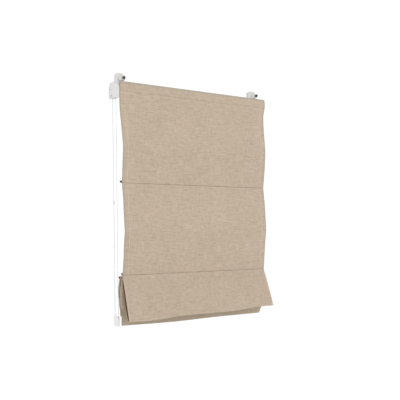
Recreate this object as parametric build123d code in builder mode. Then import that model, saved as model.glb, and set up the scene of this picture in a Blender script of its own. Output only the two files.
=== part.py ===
from build123d import *
import math
import os

os.makedirs("parts", exist_ok=True)

# Roman blind, half raised, hung on two clamp brackets over a window sash.
# Millimetres. +X to the right seen from the room, +Y into the window, +Z up.
# Origin: middle of the sash's top edge, on its room-side face.

# ---------------------------------------------------------------- dimensions
CLOTH_W = 600.0          # cloth between its side hems
HEAD_W = 616.0           # cloth at the stiff heading
CLOTH_T = 1.2            # cloth with its lining allowance
CLOTH_Y = -36.0          # front face of the hanging cloth
HEAD_H = 45.0            # stiff part of the heading
SEAM_1 = -331.0          # first rod seam below the top edge
SEAM_2 = -632.5          # second rod seam, top of the folded stack
FOLD_DROP = 150.0        # half of the 300 mm rod spacing
STACK_TOP_FOLD = -650.0
BOTTOM = -799.0          # lower edge of the bottom hem

AXIS_Y = -19.5           # winding shaft
AXIS_Z = -24.0
RAIL_D = 26.0            # headrail depth
RAIL_H = 40.0            # headrail height
RAIL_WALL = 1.5
RAIL_L = -308.5          # left end of the headrail
RAIL_R = 305.0           # right end of the headrail
HEX_R = 3.2              # hexagon shaft, across corners / 2
BEAR_R = 3.26            # round bearings for the hexagon shaft

ROD_R = 2.5
POCKET_IN = 2.6
POCKET_OUT = 3.4
POCKET_HALF = 292.0      # rod pockets stop short of the hems
ROD_HALF = 297.5
CAP_R = 3.3
ROD_OUT = {1: 4.0, 2: 1.0, 3: 0.0, 4: 2.0}   # how far each rod stands out on the left
ROD_AT = {1: (-31.0, -327.5), 2: (-31.0, -629.0), 3: (-31.0, -640.0), 4: (-15.5, -641.0)}

CORD_X = 200.0           # lift cords left and right of the middle
CORD_R = 0.7
SPOOL_R = 4.5
CORD_Y = AXIS_Y - SPOOL_R - CORD_R
CORD_END = -645.0
RING_Y = -23.7
RING_Z = {1: -327.5, 2: -629.0, 3: -638.0, 4: -641.5}
RING_MAJOR = 3.1
RING_MINOR = 0.7

CHAIN_X = -318.0         # plane of the sprocket
CHAIN_X_LOW = -313.5     # the loop leans in a little at its weight
CHAIN_R = 1.6
PITCH_R = 11.2           # half the distance between the two strands
DRIVE_R = 18.0
DRIVE_L = -329.5
DRIVE_IN = -309.0
DRIVE_BOTTOM = -56.0
LOOP_BOTTOM = -791.5
WEIGHT_TOP = -767.0
WEIGHT_HALF = 3.9        # thickness of each weight half
WEIGHT_BOTTOM = -800.0

CLAMP_X = {"left": -287.0, "right": 275.0}
CLAMP_W = 22.0
CLAMP_TOP = 33.0
SCREW_Z = 13.0


def yz(x):
    """Plane across the blind at x: local x is +Y, local y is +Z, normal +X."""
    return Plane(origin=(x, 0, 0), x_dir=(0, 1, 0), z_dir=(1, 0, 0))


def xz(y):
    """Plane along the blind at y: local x is +X, local y is +Z, normal -Y."""
    return Plane(origin=(0, y, 0), x_dir=(1, 0, 0), z_dir=(0, -1, 0))


# ------------------------------------------------------------------ headrail
with BuildPart() as headrail:
    with BuildSketch(yz(RAIL_L)):
        with Locations((AXIS_Y, AXIS_Z)):
            Rectangle(RAIL_D, RAIL_H)
            Rectangle(RAIL_D - 2 * RAIL_WALL, RAIL_H - 2 * RAIL_WALL, mode=Mode.SUBTRACT)
        with Locations((AXIS_Y, AXIS_Z - RAIL_H / 2)):
            Rectangle(17.0, 6.0, mode=Mode.SUBTRACT)
    extrude(amount=RAIL_R - RAIL_L)
headrail.part.label = "headrail"
export_step(headrail.part, "parts/headrail.step")

with BuildPart() as headrail_end_cap:
    with BuildSketch(yz(RAIL_R)):
        with Locations((AXIS_Y, AXIS_Z)):
            RectangleRounded(RAIL_D, RAIL_H, 1.2)
    extrude(amount=3.0)
    with BuildSketch(yz(RAIL_R - 6.0)):
        with Locations((AXIS_Y, AXIS_Z)):
            Rectangle(22.6, 36.6)
            Rectangle(19.0, 33.0, mode=Mode.SUBTRACT)
        with Locations((AXIS_Y, AXIS_Z)):
            Circle(7.0)
            Circle(BEAR_R, mode=Mode.SUBTRACT)
    extrude(amount=6.0)
headrail_end_cap.part.label = "headrail_end_cap"
export_step(headrail_end_cap.part, "parts/headrail_end_cap.step")

with BuildPart() as touch_fastener_strip:
    with BuildSketch(xz(-32.5)):
        with Locations((-1.5, -22.0)):
            Rectangle(606.0, 26.0)
    extrude(amount=2.1)
touch_fastener_strip.part.label = "touch_fastener_strip"
export_step(touch_fastener_strip.part, "parts/touch_fastener_strip.step")

# -------------------------------------------------------------- side winder
with BuildPart() as drive_base:
    with BuildSketch(yz(CHAIN_X)):
        with Locations((AXIS_Y, AXIS_Z)):
            Circle(DRIVE_R)
        with Locations((AXIS_Y, (AXIS_Z + DRIVE_BOTTOM) / 2)):
            Rectangle(2 * DRIVE_R, AXIS_Z - DRIVE_BOTTOM)
    extrude(amount=DRIVE_IN - CHAIN_X)
    # sprocket chamber
    with BuildSketch(yz(CHAIN_X)):
        with Locations((AXIS_Y, AXIS_Z)):
            Circle(16.2)
    extrude(amount=7.0, mode=Mode.SUBTRACT)
    # two chain channels and a relief between them
    with BuildSketch(yz(CHAIN_X)):
        with Locations((AXIS_Y - PITCH_R, (AXIS_Z + DRIVE_BOTTOM) / 2), (AXIS_Y + PITCH_R, (AXIS_Z + DRIVE_BOTTOM) / 2)):
            Rectangle(5.0, AXIS_Z - DRIVE_BOTTOM)
    extrude(amount=2.5, mode=Mode.SUBTRACT)
    # bearing boss and spigot that plugs into the headrail
    with BuildSketch(yz(CHAIN_X + 7.0)):
        with Locations((AXIS_Y, AXIS_Z)):
            Circle(7.0)
    extrude(amount=18.0)
    with BuildSketch(yz(DRIVE_IN)):
        with Locations((AXIS_Y, AXIS_Z)):
            Rectangle(22.6, 36.6)
            Rectangle(18.6, 32.6, mode=Mode.SUBTRACT)
    extrude(amount=12.0)
    with BuildSketch(yz(CHAIN_X)):
        with Locations((AXIS_Y, AXIS_Z)):
            Circle(BEAR_R)
    extrude(amount=26.0, mode=Mode.SUBTRACT)
    # blind holes for the cover screws
    with BuildSketch(yz(CHAIN_X)):
        with Locations((-24.0, -50.0), (-15.0, -50.0)):
            Circle(1.2)
    extrude(amount=6.0, mode=Mode.SUBTRACT)
drive_base.part.label = "drive_base"
export_step(drive_base.part, "parts/drive_base.step")

with BuildPart() as drive_cover:
    with BuildSketch(yz(DRIVE_L)):
        with Locations((AXIS_Y, AXIS_Z)):
            Circle(DRIVE_R)
        with Locations((AXIS_Y, (AXIS_Z + DRIVE_BOTTOM) / 2)):
            Rectangle(2 * DRIVE_R, AXIS_Z - DRIVE_BOTTOM)
    extrude(amount=CHAIN_X - DRIVE_L)
    fillet(drive_cover.faces().sort_by(Axis.X)[0].edges(), 1.6)
    # two small release tabs on the crown
    with BuildSketch(Plane.XY.offset(AXIS_Z + 13.0)):
        with Locations((-324.0, AXIS_Y - 9.0), (-324.0, AXIS_Y + 9.0)):
            RectangleRounded(6.0, 5.0, 1.0)
    extrude(amount=7.0)
    with BuildSketch(yz(DRIVE_L + 2.0)):
        with Locations((AXIS_Y, AXIS_Z)):
            Circle(16.2)
    extrude(amount=CHAIN_X - DRIVE_L - 2.0, mode=Mode.SUBTRACT)
    with BuildSketch(yz(CHAIN_X - 2.5)):
        with Locations((AXIS_Y - PITCH_R, (AXIS_Z + DRIVE_BOTTOM) / 2), (AXIS_Y + PITCH_R, (AXIS_Z + DRIVE_BOTTOM) / 2)):
            Rectangle(5.0, AXIS_Z - DRIVE_BOTTOM)
    extrude(amount=2.5, mode=Mode.SUBTRACT)
    # outer bearing of the shaft
    with BuildSketch(yz(DRIVE_L + 1.5)):
        with Locations((AXIS_Y, AXIS_Z)):
            Circle(5.5)
    extrude(amount=2.5)
    with BuildSketch(yz(DRIVE_L + 2.2)):
        with Locations((AXIS_Y, AXIS_Z)):
            Circle(BEAR_R)
    extrude(amount=2.0, mode=Mode.SUBTRACT)
    # counterbored screw holes
    with BuildSketch(yz(DRIVE_L)):
        with Locations((-24.0, -50.0), (-15.0, -50.0)):
            Circle(1.2)
    extrude(amount=12.0, mode=Mode.SUBTRACT)
    with BuildSketch(yz(DRIVE_L)):
        with Locations((-24.0, -50.0), (-15.0, -50.0)):
            Circle(2.6)
    extrude(amount=2.0, mode=Mode.SUBTRACT)
    # round inspection hole beside the axle, with a countersunk rim
    with BuildSketch(yz(DRIVE_L)):
        with Locations((-10.5, -27.5)):
            Circle(2.1)
    extrude(amount=2.5, mode=Mode.SUBTRACT)
    with BuildSketch(yz(DRIVE_L)):
        with Locations((-10.5, -27.5)):
            Circle(2.6)
    extrude(amount=0.6, mode=Mode.SUBTRACT)
drive_cover.part.label = "drive_cover"
export_step(drive_cover.part, "parts/drive_cover.step")

with BuildPart() as drive_screws:
    with BuildSketch(yz(DRIVE_L + 2.0)):
        with Locations((-24.0, -50.0), (-15.0, -50.0)):
            Circle(1.15)
    extrude(amount=14.5)
    with BuildSketch(yz(DRIVE_L + 0.4)):
        with Locations((-24.0, -50.0), (-15.0, -50.0)):
            Circle(2.4)
    extrude(amount=1.6)
    with BuildSketch(yz(DRIVE_L + 0.4)):
        with Locations((-24.0, -50.0), (-15.0, -50.0)):
            Rectangle(3.0, 0.6)
            Rectangle(0.6, 3.0)
    extrude(amount=0.8, mode=Mode.SUBTRACT)
drive_screws.part.label = "drive_screws"
export_step(drive_screws.part, "parts/drive_screws.step")

with BuildPart() as brake_spring:
    with BuildSketch(yz(CHAIN_X + 4.7)):
        with Locations((AXIS_Y, AXIS_Z)):
            Circle(10.2)
            Circle(9.2, mode=Mode.SUBTRACT)
        with Locations((AXIS_Y, AXIS_Z + 10.0)):
            Rectangle(2.0, 4.0, mode=Mode.SUBTRACT)
        with Locations((AXIS_Y + 1.5, AXIS_Z + 11.3)):
            Rectangle(1.0, 3.0)
    extrude(amount=2.3)
brake_spring.part.label = "brake_spring"
export_step(brake_spring.part, "parts/brake_spring.step")

with BuildPart() as chain_sprocket:
    with BuildSketch(yz(-325.3)):
        with Locations((AXIS_Y, AXIS_Z)):
            Circle(9.0)
    extrude(amount=14.0)
    with BuildSketch(yz(CHAIN_X - 4.4)):
        with Locations((AXIS_Y, AXIS_Z)):
            Circle(13.2)
    extrude(amount=8.8)
    with BuildSketch(yz(CHAIN_X - 2.4)):
        with Locations((AXIS_Y, AXIS_Z)):
            Circle(13.3)
            Circle(9.1, mode=Mode.SUBTRACT)
    extrude(amount=4.8, mode=Mode.SUBTRACT)
    # bead pockets cut in both rims
    with BuildSketch(yz(CHAIN_X - 4.4)):
        with Locations((AXIS_Y, AXIS_Z)):
            with PolarLocations(13.1, 12):
                Circle(1.7)
    extrude(amount=8.8, mode=Mode.SUBTRACT)
    with BuildSketch(yz(-325.3)):
        with Locations((AXIS_Y, AXIS_Z)):
            RegularPolygon(HEX_R, 6)
    extrude(amount=14.0, mode=Mode.SUBTRACT)
chain_sprocket.part.label = "chain_sprocket"
export_step(chain_sprocket.part, "parts/chain_sprocket.step")

with BuildPart() as winding_shaft:
    with BuildSketch(yz(-327.2)):
        with Locations((AXIS_Y, AXIS_Z)):
            RegularPolygon(HEX_R, 6)
    extrude(amount=627.2 + 4.0)
winding_shaft.part.label = "winding_shaft"
export_step(winding_shaft.part, "parts/winding_shaft.step")

# ------------------------------------------------- spools, cradles and cords
for side, sx in (("left", -1), ("right", 1)):
    cx = sx * CORD_X
    with BuildPart() as spool:
        with BuildSketch(yz(cx - 19.0)):
            with Locations((AXIS_Y, AXIS_Z)):
                Circle(5.5)
        extrude(amount=4.0)
        with BuildSketch(yz(cx - 15.0)):
            with Locations((AXIS_Y, AXIS_Z)):
                Circle(9.0)
        extrude(amount=2.0)
        with BuildSketch(yz(cx - 13.0)):
            with Locations((AXIS_Y, AXIS_Z)):
                Circle(SPOOL_R)
        extrude(amount=26.0)
        with BuildSketch(yz(cx + 13.0)):
            with Locations((AXIS_Y, AXIS_Z)):
                Circle(9.0)
        extrude(amount=2.0)
        with BuildSketch(yz(cx + 15.0)):
            with Locations((AXIS_Y, AXIS_Z)):
                Circle(5.5)
        extrude(amount=4.0)
        with BuildSketch(yz(cx - 19.0)):
            with Locations((AXIS_Y, AXIS_Z)):
                RegularPolygon(HEX_R, 6)
        extrude(amount=38.0, mode=Mode.SUBTRACT)
    spool.part.label = "cord_spool_" + side
    export_step(spool.part, "parts/cord_spool_" + side + ".step")

    with BuildPart() as cradle:
        with BuildSketch(Plane.XY.offset(-42.5)):
            with Locations((cx, AXIS_Y)):
                Rectangle(38.0, 22.6)
        extrude(amount=2.0)
        with BuildSketch(yz(cx - 18.5)):
            with Locations((AXIS_Y, -30.0)):
                Rectangle(22.6, 25.0)
        extrude(amount=2.6)
        with BuildSketch(yz(cx + 15.9)):
            with Locations((AXIS_Y, -30.0)):
                Rectangle(22.6, 25.0)
        extrude(amount=2.6)
        with BuildSketch(yz(cx - 19.0)):
            with Locations((AXIS_Y, AXIS_Z)):
                Circle(5.56)
            with Locations((AXIS_Y, AXIS_Z + 5.0)):
                Rectangle(9.0, 10.0)
        extrude(amount=38.0, mode=Mode.SUBTRACT)
        with BuildSketch(Plane.XY.offset(-43.0)):
            with Locations((cx, CORD_Y)):
                Circle(2.4)
        extrude(amount=4.0, mode=Mode.SUBTRACT)
    cradle.part.label = "spool_cradle_" + side
    export_step(cradle.part, "parts/spool_cradle_" + side + ".step")

    with BuildPart() as winding:
        with BuildSketch(yz(cx + 1.2)):
            with Locations((AXIS_Y, AXIS_Z)):
                Circle(5.9)
                Circle(SPOOL_R, mode=Mode.SUBTRACT)
        extrude(amount=9.0)
    winding.part.label = "cord_winding_" + side
    export_step(winding.part, "parts/cord_winding_" + side + ".step")

    with BuildPart() as lift_cord:
        with BuildSketch(Plane.XY.offset(CORD_END)):
            with Locations((cx, CORD_Y)):
                Circle(CORD_R)
        extrude(amount=AXIS_Z - CORD_END)
    lift_cord.part.label = "lift_cord_" + side
    export_step(lift_cord.part, "parts/lift_cord_" + side + ".step")

# -------------------------------------------------------- rods, caps, rings
for n in (1, 2, 3, 4):
    ry, rz = ROD_AT[n]
    left = -ROD_HALF - ROD_OUT[n]
    with BuildPart() as rod:
        with BuildSketch(yz(left)):
            with Locations((ry, rz)):
                Circle(ROD_R)
        extrude(amount=ROD_HALF - left)
    rod.part.label = "cross_rod_%d" % n
    export_step(rod.part, "parts/cross_rod_%d.step" % n)

    with BuildPart() as caps:
        for x0, xh in ((left - 3.0, left), (ROD_HALF - 4.5, ROD_HALF - 4.5)):
            with BuildSketch(yz(x0)):
                with Locations((ry, rz)):
                    Circle(CAP_R)
            extrude(amount=7.5)
            with BuildSketch(yz(xh)):
                with Locations((ry, rz)):
                    Circle(ROD_R)
            extrude(amount=4.5, mode=Mode.SUBTRACT)
        fillet(caps.faces().sort_by(Axis.X)[0].edges(), 0.8)
        fillet(caps.faces().sort_by(Axis.X)[-1].edges(), 0.8)
    caps.part.label = "rod_end_caps_%d" % n
    export_step(caps.part, "parts/rod_end_caps_%d.step" % n)

    with BuildPart() as rings:
        with Locations((-CORD_X, RING_Y, RING_Z[n]), (CORD_X, RING_Y, RING_Z[n])):
            Torus(RING_MAJOR, RING_MINOR)
    rings.part.label = "cord_rings_%d" % n
    export_step(rings.part, "parts/cord_rings_%d.step" % n)

# --------------------------------------------------------------------- cloth
with BuildPart() as cloth_upper:
    with BuildSketch(xz(CLOTH_Y + CLOTH_T)):
        with BuildLine():
            Polyline(
                (-HEAD_W / 2, 0.0), (HEAD_W / 2, 0.0), (HEAD_W / 2, -HEAD_H),
                (CLOTH_W / 2, -130.0), (CLOTH_W / 2, SEAM_1), (-CLOTH_W / 2, SEAM_1),
                (-CLOTH_W / 2, -130.0), (-HEAD_W / 2, -HEAD_H), (-HEAD_W / 2, 0.0))
        make_face()
    extrude(amount=CLOTH_T)
    with BuildSketch(yz(-POCKET_HALF)):
        with Locations(ROD_AT[1]):
            Circle(POCKET_OUT)
        with Locations((-33.0, ROD_AT[1][1])):
            Rectangle(4.0, 1.6)
        with Locations(ROD_AT[1]):
            Circle(POCKET_IN, mode=Mode.SUBTRACT)
    extrude(amount=2 * POCKET_HALF)
cloth_upper.part.label = "cloth_upper"
export_step(cloth_upper.part, "parts/cloth_upper.step")

with BuildPart() as cloth_middle:
    with BuildSketch(xz(CLOTH_Y + CLOTH_T)):
        with Locations((0.0, (SEAM_1 + SEAM_2) / 2)):
            Rectangle(CLOTH_W, SEAM_1 - SEAM_2)
    extrude(amount=CLOTH_T)
cloth_middle.part.label = "cloth_middle"
export_step(cloth_middle.part, "parts/cloth_middle.step")

# folded stack: front flap, two loops and the last panel, one bent sheet
with BuildPart() as cloth_stack:
    with BuildSketch(yz(-CLOTH_W / 2)):
        with BuildLine() as fold_line:
            FilletPolyline(
                (-35.4, SEAM_2 - 0.3), (-35.4, -645.0),
                (-83.0, -781.0), (-79.2, -782.3),
                (-33.2, STACK_TOP_FOLD), (-28.6, STACK_TOP_FOLD),
                (-56.0, -773.0), (-52.2, -773.8),
                (-21.0, STACK_TOP_FOLD), (-16.4, STACK_TOP_FOLD),
                (-19.5, -775.0),
                radius=1.7)
        trace(line_width=CLOTH_T)
        # bottom hem round the bar
        with Locations((-19.5, (BOTTOM - 774.0) / 2)):
            Rectangle(5.8, -774.0 - BOTTOM)
            Rectangle(3.2, 20.4, mode=Mode.SUBTRACT)
    extrude(amount=CLOTH_W)
    with BuildSketch(yz(-POCKET_HALF)):
        for n in (2, 3, 4):
            with Locations(ROD_AT[n]):
                Circle(POCKET_OUT)
        with Locations((-33.0, -633.4)):
            Rectangle(5.0, 1.2)
        with Locations((-31.0, -632.6)):
            Rectangle(1.6, 2.0)
        with Locations((-31.0, -646.0)):
            Rectangle(1.2, 8.0)
        with Locations((-17.5, -646.5)):
            Rectangle(1.2, 8.0)
        for n in (2, 3, 4):
            with Locations(ROD_AT[n]):
                Circle(POCKET_IN, mode=Mode.SUBTRACT)
    extrude(amount=2 * POCKET_HALF)
cloth_stack.part.label = "cloth_stack"
export_step(cloth_stack.part, "parts/cloth_stack.step")

with BuildPart() as bottom_bar:
    with BuildSketch(yz(-294.0)):
        with Locations((-19.5, (BOTTOM - 774.0) / 2)):
            RectangleRounded(3.0, 20.0, 1.0)
    extrude(amount=588.0)
bottom_bar.part.label = "bottom_bar"
export_step(bottom_bar.part, "parts/bottom_bar.step")

# --------------------------------------------------------- operating chain
FRONT_Y = AXIS_Y - PITCH_R
BACK_Y = AXIS_Y + PITCH_R
LOOP_POINTS = [
    (CHAIN_X, FRONT_Y, DRIVE_BOTTOM - 0.02),
    (CHAIN_X_LOW, FRONT_Y, LOOP_BOTTOM),
    (CHAIN_X_LOW, BACK_Y, LOOP_BOTTOM),
    (CHAIN_X, BACK_Y, DRIVE_BOTTOM - 0.02),
]
LOOP_RADIUS = PITCH_R - 0.02

with BuildPart() as chain_loop:
    with BuildLine() as loop_line:
        FilletPolyline(*LOOP_POINTS, radius=LOOP_RADIUS)
    with BuildSketch(Plane(origin=loop_line.line @ 0, z_dir=loop_line.line % 0)):
        Circle(CHAIN_R)
    sweep()
chain_loop.part.label = "chain_loop"
export_step(chain_loop.part, "parts/chain_loop.step")
loop_length = loop_line.wire().length
print("chain loop radii", [LOOP_RADIUS, LOOP_RADIUS], "length", round(loop_length, 1),
      "volume", round(chain_loop.part.volume, 1),
      "section x length", round(math.pi * CHAIN_R ** 2 * loop_length, 1))

WRAP_POINTS = [
    (CHAIN_X, FRONT_Y, DRIVE_BOTTOM),
    (CHAIN_X, FRONT_Y, AXIS_Z + PITCH_R),
    (CHAIN_X, BACK_Y, AXIS_Z + PITCH_R),
    (CHAIN_X, BACK_Y, DRIVE_BOTTOM),
]
with BuildPart() as chain_on_sprocket:
    with BuildLine() as wrap_line:
        FilletPolyline(*WRAP_POINTS, radius=LOOP_RADIUS)
    with BuildSketch(Plane(origin=wrap_line.line @ 0, z_dir=wrap_line.line % 0)):
        Circle(CHAIN_R)
    sweep()
chain_on_sprocket.part.label = "chain_on_sprocket"
export_step(chain_on_sprocket.part, "parts/chain_on_sprocket.step")

CONNECTOR_T = (400.0 + DRIVE_BOTTOM) / (-LOOP_BOTTOM + DRIVE_BOTTOM)
connector_x = CHAIN_X + (CHAIN_X_LOW - CHAIN_X) * CONNECTOR_T
strand_dir = (CHAIN_X - CHAIN_X_LOW, 0.0, DRIVE_BOTTOM - LOOP_BOTTOM)
with BuildPart() as chain_connector:
    with BuildSketch(Plane(origin=(connector_x, BACK_Y, -400.0), x_dir=(0, 1, 0), z_dir=strand_dir)):
        Circle(2.7)
        Circle(CHAIN_R + 0.02, mode=Mode.SUBTRACT)
    extrude(amount=10.0)
chain_connector.part.label = "chain_connector"
export_step(chain_connector.part, "parts/chain_connector.step")

for side, x0 in (("left", CHAIN_X_LOW - WEIGHT_HALF), ("right", CHAIN_X_LOW)):
    with BuildPart() as weight:
        with BuildSketch(yz(x0)):
            with Locations((AXIS_Y, (WEIGHT_TOP + WEIGHT_BOTTOM) / 2)):
                RectangleRounded(28.8, WEIGHT_TOP - WEIGHT_BOTTOM, 6.0)
        extrude(amount=WEIGHT_HALF)
        outer = weight.faces().sort_by(Axis.X)[0 if side == "left" else -1]
        fillet(outer.edges(), 1.5)
        # channel for the chain: two straight entries and the lower half turn
        with BuildSketch(yz(CHAIN_X_LOW - 2.1 if side == "left" else CHAIN_X_LOW)):
            with Locations((FRONT_Y, -772.0), (BACK_Y, -772.0)):
                Rectangle(4.2, 17.0)
            with Locations((AXIS_Y, LOOP_BOTTOM + PITCH_R)):
                Circle(PITCH_R + 2.1)
                Circle(PITCH_R - 2.1, mode=Mode.SUBTRACT)
            with Locations((AXIS_Y, LOOP_BOTTOM + PITCH_R + 9.0)):
                Rectangle(2 * (PITCH_R - 2.1), 18.0, mode=Mode.SUBTRACT)
        extrude(amount=2.1, mode=Mode.SUBTRACT)
    weight.part.label = "chain_weight_" + side
    export_step(weight.part, "parts/chain_weight_" + side + ".step")

# ------------------------------------------------------------ sash clamps
for side in ("left", "right"):
    bx = CLAMP_X[side]
    with BuildPart() as clamp_body:
        # saddle on the headrail with a lip over its front edge
        with BuildSketch(yz(bx - CLAMP_W / 2)):
            with Locations((-17.75, -2.5)):
                Rectangle(32.5, 3.0)
            with Locations((-33.25, -4.0)):
                Rectangle(1.5, 6.0)
            with Locations((-4.0, -20.5)):
                Rectangle(5.0, 51.0)
        extrude(amount=CLAMP_W)
        # tower that bridges the sash edge
        with BuildSketch(yz(bx - CLAMP_W / 2)):
            with Locations((1.75, CLAMP_TOP / 2)):
                Rectangle(16.5, CLAMP_TOP)
        extrude(amount=CLAMP_W)
        fillet(clamp_body.faces().filter_by(Axis.Z).sort_by(Axis.Z)[-1].edges(), 2.5)
        # boss round the screw, over the headrail
        with BuildSketch(xz(-6.5)):
            with Locations((bx, SCREW_Z)):
                RectangleRounded(14.0, 16.0, 3.0)
        extrude(amount=17.5)
        # guide for the jaw's bar, open at the back
        with BuildSketch(xz(10.0)):
            with Locations((bx, SCREW_Z)):
                Rectangle(12.6, 16.0)
        extrude(amount=14.0, mode=Mode.SUBTRACT)
        with BuildSketch(xz(-3.0)):
            with Locations((bx, SCREW_Z)):
                Circle(2.2)
        extrude(amount=22.0, mode=Mode.SUBTRACT)
    clamp_body.part.label = side + "_clamp_body"
    export_step(clamp_body.part, "parts/" + side + "_clamp_body.step")

    with BuildPart() as clamp_jaw:
        with BuildSketch(xz(14.0)):
            with Locations((bx, SCREW_Z)):
                Rectangle(12.0, 15.4)
        extrude(amount=14.0)
        with BuildSketch(xz(18.0)):
            with Locations((bx, 4.0)):
                RectangleRounded(20.0, 54.0, 3.0)
        extrude(amount=4.0)
        # threaded hole, deep enough for the screw's end when the jaw is drawn in
        with BuildSketch(xz(16.4)):
            with Locations((bx, SCREW_Z)):
                Circle(2.05)
        extrude(amount=16.4, mode=Mode.SUBTRACT)
    clamp_jaw.part.label = side + "_clamp_jaw"
    export_step(clamp_jaw.part, "parts/" + side + "_clamp_jaw.step")

    with BuildPart() as clamp_screw:
        with BuildSketch(xz(-28.4)):
            with Locations((bx, SCREW_Z)):
                Circle(5.0)
                with PolarLocations(5.4, 16):
                    Circle(0.7, mode=Mode.SUBTRACT)
        extrude(amount=3.6)
        with BuildSketch(xz(11.5)):
            with Locations((bx, SCREW_Z)):
                Circle(2.0)
        extrude(amount=38.5)
        with BuildSketch(xz(-24.1)):
            with Locations((bx, SCREW_Z)):
                Circle(2.9)
        extrude(amount=4.4)
        with BuildSketch(xz(-30.5)):
            with Locations((bx, SCREW_Z)):
                RegularPolygon(2.4, 6)
        extrude(amount=1.5, mode=Mode.SUBTRACT)
    clamp_screw.part.label = side + "_clamp_screw"
    export_step(clamp_screw.part, "parts/" + side + "_clamp_screw.step")

    with BuildPart() as front_pad:
        with BuildSketch(xz(0.0)):
            with Locations((bx, -24.0)):
                RectangleRounded(18.0, 34.0, 2.0)
        extrude(amount=1.5)
    front_pad.part.label = side + "_front_pad"
    export_step(front_pad.part, "parts/" + side + "_front_pad.step")

    with BuildPart() as jaw_pad:
        with BuildSketch(xz(14.0)):
            with Locations((bx, -12.0)):
                RectangleRounded(16.0, 18.0, 2.0)
        extrude(amount=1.0)
    jaw_pad.part.label = side + "_jaw_pad"
    export_step(jaw_pad.part, "parts/" + side + "_jaw_pad.step")
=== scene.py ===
import bpy, bmesh, math, random
import numpy as np
from mathutils import Vector, Matrix, noise


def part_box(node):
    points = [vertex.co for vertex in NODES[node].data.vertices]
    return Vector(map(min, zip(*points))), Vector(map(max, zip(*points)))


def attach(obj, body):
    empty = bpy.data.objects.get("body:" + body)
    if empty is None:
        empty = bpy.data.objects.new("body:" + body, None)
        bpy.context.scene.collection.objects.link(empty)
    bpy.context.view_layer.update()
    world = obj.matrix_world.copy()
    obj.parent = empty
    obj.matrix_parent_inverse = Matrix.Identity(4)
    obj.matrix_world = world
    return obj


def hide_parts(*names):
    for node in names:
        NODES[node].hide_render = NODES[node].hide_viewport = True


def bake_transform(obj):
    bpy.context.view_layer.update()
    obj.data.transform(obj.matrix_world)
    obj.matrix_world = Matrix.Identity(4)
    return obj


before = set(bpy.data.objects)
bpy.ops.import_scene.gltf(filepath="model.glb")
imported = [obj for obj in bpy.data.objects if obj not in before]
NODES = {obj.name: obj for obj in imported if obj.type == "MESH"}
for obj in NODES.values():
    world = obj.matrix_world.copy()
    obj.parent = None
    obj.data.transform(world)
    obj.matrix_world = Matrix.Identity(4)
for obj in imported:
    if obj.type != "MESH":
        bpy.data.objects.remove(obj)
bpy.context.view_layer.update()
scene = bpy.context.scene
MM = 0.001
rng = random.Random(41)

# ------------------------------------------------------------------- camera
cam_data = bpy.data.cameras.new("camera")
cam = bpy.data.objects.new("camera", cam_data)
scene.collection.objects.link(cam)
cam_data.sensor_width = 36.0
cam_data.lens = 63.0
cam_data.shift_y = 0.0758
cam_data.clip_end = 50.0
YAW, ROLL = math.radians(35.20), math.radians(-0.35)
cam.matrix_world = (Matrix.Translation((-1.406, -2.042, -0.488))
                    @ Matrix.Rotation(-YAW, 4, "Z")
                    @ Matrix.Rotation(math.radians(90), 4, "X")
                    @ Matrix.Rotation(ROLL, 4, "Z"))
scene.camera = cam


# ------------------------------------------------------- mesh and link helpers
def new_mesh_object(name, verts, faces, smooth=True, uvs=None):
    me = bpy.data.meshes.new(name)
    me.from_pydata([tuple(v) for v in verts], [], faces)
    me.validate()
    me.update()
    if uvs is not None:
        layer = me.uv_layers.new(name="UVMap")
        idx = np.zeros(len(me.loops), np.int32)
        me.loops.foreach_get("vertex_index", idx)
        layer.data.foreach_set("uv", np.asarray(uvs, np.float32)[idx].ravel())
    if smooth:
        me.polygons.foreach_set("use_smooth", [True] * len(me.polygons))
    ob = bpy.data.objects.new(name, me)
    scene.collection.objects.link(ob)
    return ob


def tube(points, radius, sides=8, closed_ends=True):
    """Verts and faces of a tube that follows the points."""
    pts = [Vector(p) for p in points]
    verts, faces = [], []
    t0 = (pts[1] - pts[0]).normalized()
    ref = Vector((1, 0, 0)) if abs(t0.x) < 0.9 else Vector((0, 1, 0))
    n = (ref - t0 * ref.dot(t0)).normalized()
    for i, p in enumerate(pts):
        t = (pts[min(i + 1, len(pts) - 1)] - pts[max(i - 1, 0)]).normalized()
        n = (n - t * n.dot(t)).normalized()
        b = t.cross(n)
        r = radius[i] if hasattr(radius, "__len__") else radius
        for k in range(sides):
            a = 2 * math.pi * k / sides
            verts.append(p + (n * math.cos(a) + b * math.sin(a)) * r)
    for i in range(len(pts) - 1):
        for k in range(sides):
            a, b2 = i * sides + k, i * sides + (k + 1) % sides
            faces.append((a, b2, b2 + sides, a + sides))
    if closed_ends:
        faces.append(tuple(reversed(range(sides))))
        last = (len(pts) - 1) * sides
        faces.append(tuple(range(last, last + sides)))
    return verts, faces


def add_part(store, part):
    verts, faces = store
    base = len(verts)
    verts.extend(part[0])
    faces.extend(tuple(i + base for i in f) for f in part[1])


def walk(points, step, offset=0.0):
    """Places along a path at equal spacing: (point, tangent)."""
    pts = [Vector(p) for p in points]
    out, want, gone = [], offset, 0.0
    for a, b in zip(pts, pts[1:]):
        d = (b - a).length
        while want <= gone + d + 1e-9:
            f = (want - gone) / d if d else 0
            out.append((a.lerp(b, f), (b - a).normalized()))
            want += step
        gone += d
    return out


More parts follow.
